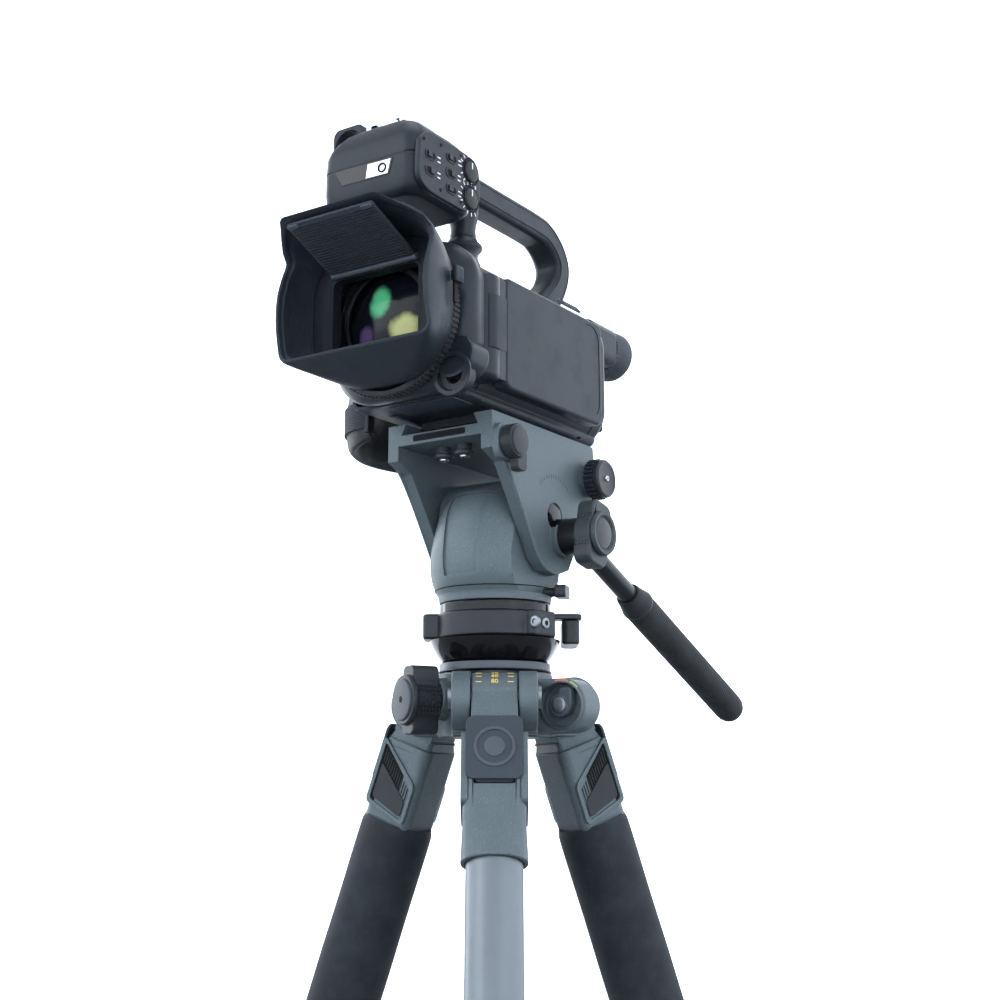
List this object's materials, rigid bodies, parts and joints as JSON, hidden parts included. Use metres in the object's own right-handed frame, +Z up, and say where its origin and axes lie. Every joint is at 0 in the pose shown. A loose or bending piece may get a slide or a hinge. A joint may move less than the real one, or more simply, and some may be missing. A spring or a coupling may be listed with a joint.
{
  "type": "video camera on a fluid-head tripod",
  "caption": "Compact camcorder with lens hood, fold-out screen and top handle, on a fluid pan-and-tilt head with a bowl leveller and a tripod with twist-lock legs.",
  "frame": {"origin": "centre of the footprint's box on the floor", "axes": "+Z up, the camcorder looks along -Y, +X is the camcorder's left side"},
  "size_m": [0.4006, 0.4414, 0.8662],
  "materials": {
    "powder_coat": "satin grey-green powder coat",
    "tube_aluminium": "satin anodised",
    "black_plastic": "moulded",
    "rubber": "matt",
    "foam": "closed-cell foam",
    "steel": "bright",
    "black_anodised": "black anodised",
    "gloss_black": "gloss black",
    "nylon": "natural nylon",
    "camera_plastic": "fine-textured charcoal",
    "lens_glass": "coated glass",
    "strap_leather": "padded grain",
    "record_red": "gloss red"
  },
  "bodies": {
    "stand_hub": {"spider": "powder_coat", "leg_pivot_bolts": "steel"},
    "leg_1": {"leg_1_casting": "powder_coat", "leg_1_upper_tube": "tube_aluminium"},
    "leg_1_latch": {"leg_1_angle_latch": "black_plastic"},
    "leg_1_collar": {"leg_1_twist_collar": "powder_coat"},
    "leg_1_lower": {"leg_1_lower_tube": "tube_aluminium", "leg_1_foot": "rubber"},
    "leg_2": {"leg_2_casting": "powder_coat", "leg_2_upper_tube": "tube_aluminium", "leg_2_foam_sleeve": "foam"},
    "leg_2_latch": {"leg_2_angle_latch": "black_plastic"},
    "leg_2_collar": {"leg_2_twist_collar": "powder_coat"},
    "leg_2_lower": {"leg_2_lower_tube": "tube_aluminium", "leg_2_foot": "rubber"},
    "leg_3": {"leg_3_casting": "powder_coat", "leg_3_upper_tube": "tube_aluminium", "leg_3_foam_sleeve": "foam"},
    "leg_3_latch": {"leg_3_angle_latch": "black_plastic"},
    "leg_3_collar": {"leg_3_twist_collar": "powder_coat"},
    "leg_3_lower": {"leg_3_lower_tube": "tube_aluminium", "leg_3_foot": "rubber"},
    "column": {"centre_column": "black_anodised"},
    "column_knob": {"column_lock_knob": "black_plastic"},
    "release_lever": {"column_release_lever": "black_plastic"},
    "liner": {"ball_liner": "nylon"},
    "level_ball": {"half_ball": "gloss_black", "bowl_clamp_ring": "black_anodised"},
    "clamp_lever": {"bowl_clamp_lever": "black_plastic"},
    "pan": {"head_housing": "powder_coat", "tilt_axle": "steel"},
    "pan_lock": {"pan_lock_lever": "black_plastic"},
    "tilt": {"tilt_cradle": "powder_coat"},
    "drag_knob": {"tilt_drag_knob": "black_plastic"},
    "plate_knob": {"plate_lock_knob": "black_plastic"},
    "pan_bar": {"pan_bar_tube": "black_anodised", "pan_bar_grip": "rubber"},
    "bar_knob": {"pan_bar_clamp_knob": "black_plastic"},
    "camera": {"release_plate": "black_anodised", "camera_body": "camera_plastic", "lens_barrel": "camera_plastic", "lens_hood": "camera_plastic", "front_lens": "lens_glass", "carry_handle": "camera_plastic", "handle_front_block": "camera_plastic", "hand_strap": "strap_leather"},
    "screw": {"camera_screw": "steel"},
    "focus": {"focus_ring": "rubber"},
    "flap": {"barrier_flap": "camera_plastic"},
    "side_lever": {"barrier_lever": "camera_plastic"},
    "lcd": {"lcd_hinge_block": "camera_plastic", "lcd_panel": "camera_plastic"},
    "evf": {"viewfinder": "camera_plastic", "eyecup": "rubber"},
    "battery": {"battery_pack": "camera_plastic"},
    "record": {"record_button": "record_red"},
    "handle_screw": {"handle_clamp_screw": "black_plastic"},
    "gain_upper": {"gain_dial_upper": "black_plastic"},
    "gain_lower": {"gain_dial_lower": "black_plastic"},
    "custom": {"custom_dial": "black_plastic"}
  },
  "joints": [
    {"name": "leg_1_spread", "type": "hinge", "parent": "stand_hub", "child": "leg_1", "pos_m": [0.07343, -0.03981, 0.56272], "axis": [-0.829, -0.5592, 0], "range_deg": [-20, 60]},
    {"name": "leg_1_latch_pull", "type": "slide", "parent": "leg_1", "child": "leg_1_latch", "axis": [0.5255, -0.779, 0.342], "range_m": [0, 0.004], "stiffness_N_per_m": 400},
    {"name": "leg_1_collar_turn", "type": "hinge", "parent": "leg_1", "child": "leg_1_collar", "pos_m": [0.13655, -0.13338, 0.25262], "axis": [-0.1913, 0.2835, 0.9397], "range_deg": [0, 90]},
    {"name": "leg_1_extend", "type": "slide", "parent": "leg_1", "child": "leg_1_lower", "axis": [0.1913, -0.2835, -0.9397], "range_m": [0, 0.18]},
    {"name": "leg_2_spread", "type": "hinge", "parent": "stand_hub", "child": "leg_2", "pos_m": [0.06884, 0.02585, 0.56272], "axis": [0.8988, -0.4384, 0], "range_deg": [-20, 60]},
    {"name": "leg_2_latch_pull", "type": "slide", "parent": "leg_2", "child": "leg_2_latch", "axis": [0.4119, 0.8446, 0.342], "range_m": [0, 0.004], "stiffness_N_per_m": 400},
    {"name": "leg_2_collar_turn", "type": "hinge", "parent": "leg_2", "child": "leg_2_collar", "pos_m": [0.11832, 0.12729, 0.25262], "axis": [-0.1499, -0.3074, 0.9397], "range_deg": [0, 90]},
    {"name": "leg_2_extend", "type": "slide", "parent": "leg_2", "child": "leg_2_lower", "axis": [0.1499, 0.3074, -0.9397], "range_m": [0, 0.18]},
    {"name": "leg_3_spread", "type": "hinge", "parent": "stand_hub", "child": "leg_3", "pos_m": [0.01428, -0.01095, 0.56272], "axis": [-0.0698, 0.9976, 0], "range_deg": [-20, 60]},
    {"name": "leg_3_latch_pull", "type": "slide", "parent": "leg_3", "child": "leg_3_latch", "axis": [-0.9374, -0.0655, 0.342], "range_m": [0, 0.004], "stiffness_N_per_m": 400},
    {"name": "leg_3_collar_turn", "type": "hinge", "parent": "leg_3", "child": "leg_3_collar", "pos_m": [-0.09831, -0.01883, 0.25262], "axis": [0.3412, 0.0239, 0.9397], "range_deg": [0, 90]},
    {"name": "leg_3_extend", "type": "slide", "parent": "leg_3", "child": "leg_3_lower", "axis": [-0.3412, -0.0239, -0.9397], "range_m": [0, 0.18]},
    {"name": "column_rise", "type": "slide", "parent": "stand_hub", "child": "column", "axis": [0, 0, 1], "range_m": [0, 0.25]},
    {"name": "column_knob_turn", "type": "hinge", "parent": "stand_hub", "child": "column_knob", "pos_m": [0.03465, -0.04426, 0.56172], "axis": [-0.4384, -0.8988, 0], "range_deg": [-50, 50]},
    {"name": "release_lever_turn", "type": "hinge", "parent": "stand_hub", "child": "release_lever", "pos_m": [0.09707, -0.00517, 0.55872], "axis": [0.0698, -0.9976, 0], "range_deg": [0, 90]},
    {"name": "level_roll", "type": "hinge", "parent": "column", "child": "liner", "pos_m": [0.05218, -0.0083, 0.60712], "axis": [1, 0, 0], "range_deg": [-10, 10]},
    {"name": "level_pitch", "type": "hinge", "parent": "liner", "child": "level_ball", "pos_m": [0.05218, -0.0083, 0.60712], "axis": [0, 1, 0], "range_deg": [-10, 10]},
    {"name": "clamp_lever_swing", "type": "hinge", "parent": "level_ball", "child": "clamp_lever", "pos_m": [0.08841, 0.01131, 0.60072], "axis": [0, 0, -1], "range_deg": [0, 60]},
    {"name": "pan_turn", "type": "hinge", "parent": "level_ball", "child": "pan", "pos_m": [0.05218, -0.0083, 0.62272], "axis": [0, 0, 1], "continuous": true},
    {"name": "pan_lock_turn", "type": "hinge", "parent": "pan", "child": "pan_lock", "pos_m": [0.08507, 0.00367, 0.62072], "axis": [0.9397, 0.342, 0], "range_deg": [-30, 30]},
    {"name": "tilt", "type": "hinge", "parent": "pan", "child": "tilt", "pos_m": [0.05218, -0.0003, 0.66172], "axis": [1, 0, 0], "range_deg": [-30, 60]},
    {"name": "drag_knob_turn", "type": "hinge", "parent": "tilt", "child": "drag_knob", "pos_m": [0.08818, 0.0347, 0.68772], "axis": [1, 0, 0], "range_deg": [-150, 150]},
    {"name": "plate_knob_turn", "type": "hinge", "parent": "tilt", "child": "plate_knob", "pos_m": [0.08818, -0.0513, 0.69272], "axis": [1, 0, 0], "range_deg": [0, 60]},
    {"name": "bar_angle", "type": "hinge", "parent": "tilt", "child": "pan_bar", "pos_m": [0.09518, 0.0057, 0.65072], "axis": [1, 0, 0], "range_deg": [-5, 50]},
    {"name": "bar_knob_turn", "type": "hinge", "parent": "tilt", "child": "bar_knob", "pos_m": [0.10218, 0.0057, 0.65072], "axis": [1, 0, 0], "range_deg": [-30, 30]},
    {"name": "plate_slide", "type": "slide", "parent": "tilt", "child": "camera", "axis": [0, 1, 0], "range_m": [-0.01, 0.01]},
    {"name": "camera_screw_turn", "type": "hinge", "parent": "camera", "child": "screw", "pos_m": [0.05218, -0.0083, 0.70772], "axis": [0, 0, 1], "continuous": true},
    {"name": "focus_turn", "type": "hinge", "parent": "camera", "child": "focus", "pos_m": [0.05218, -0.1023, 0.75172], "axis": [0, 1, 0], "continuous": true},
    {"name": "barrier_swing", "type": "hinge", "parent": "camera", "child": "flap", "pos_m": [0.05218, -0.1177, 0.77592], "axis": [1, 0, 0], "range_deg": [0, 105]},
    {"name": "barrier_lever_slide", "type": "slide", "parent": "camera", "child": "side_lever", "axis": [0, 0, -1], "range_m": [0, 0.009]},
    {"name": "lcd_open", "type": "hinge", "parent": "camera", "child": "lcd", "pos_m": [0.09068, -0.0758, 0.74272], "axis": [0, 0, -1], "range_deg": [0, 90]},
    {"name": "viewfinder_tilt", "type": "hinge", "parent": "camera", "child": "evf", "pos_m": [0.06418, 0.0597, 0.79472], "axis": [1, 0, 0], "range_deg": [0, 45]},
    {"name": "battery_slide", "type": "slide", "parent": "camera", "child": "battery", "axis": [0, 0, -1], "range_m": [0, 0.015]},
    {"name": "record_press", "type": "slide", "parent": "camera", "child": "record", "axis": [0, -1, 0], "range_m": [0, 0.0012], "stiffness_N_per_m": 600},
    {"name": "handle_screw_turn", "type": "hinge", "parent": "camera", "child": "handle_screw", "pos_m": [0.05218, -0.0403, 0.80772], "axis": [0, 0, 1], "continuous": true},
    {"name": "gain_upper_turn", "type": "hinge", "parent": "camera", "child": "gain_upper", "pos_m": [0.08618, -0.0808, 0.83272], "axis": [1, 0, 0], "range_deg": [-135, 135]},
    {"name": "gain_lower_turn", "type": "hinge", "parent": "camera", "child": "gain_lower", "pos_m": [0.08618, -0.0808, 0.81772], "axis": [1, 0, 0], "range_deg": [-135, 135]},
    {"name": "custom_dial_turn", "type": "hinge", "parent": "camera", "child": "custom", "pos_m": [0.08918, -0.0953, 0.71772], "axis": [0, 1, 0], "continuous": true}
  ],
  "couplings": [
    {"joint": "barrier_lever_slide", "follows": "barrier_swing", "m_per_rad": 0.0049111}
  ]
}
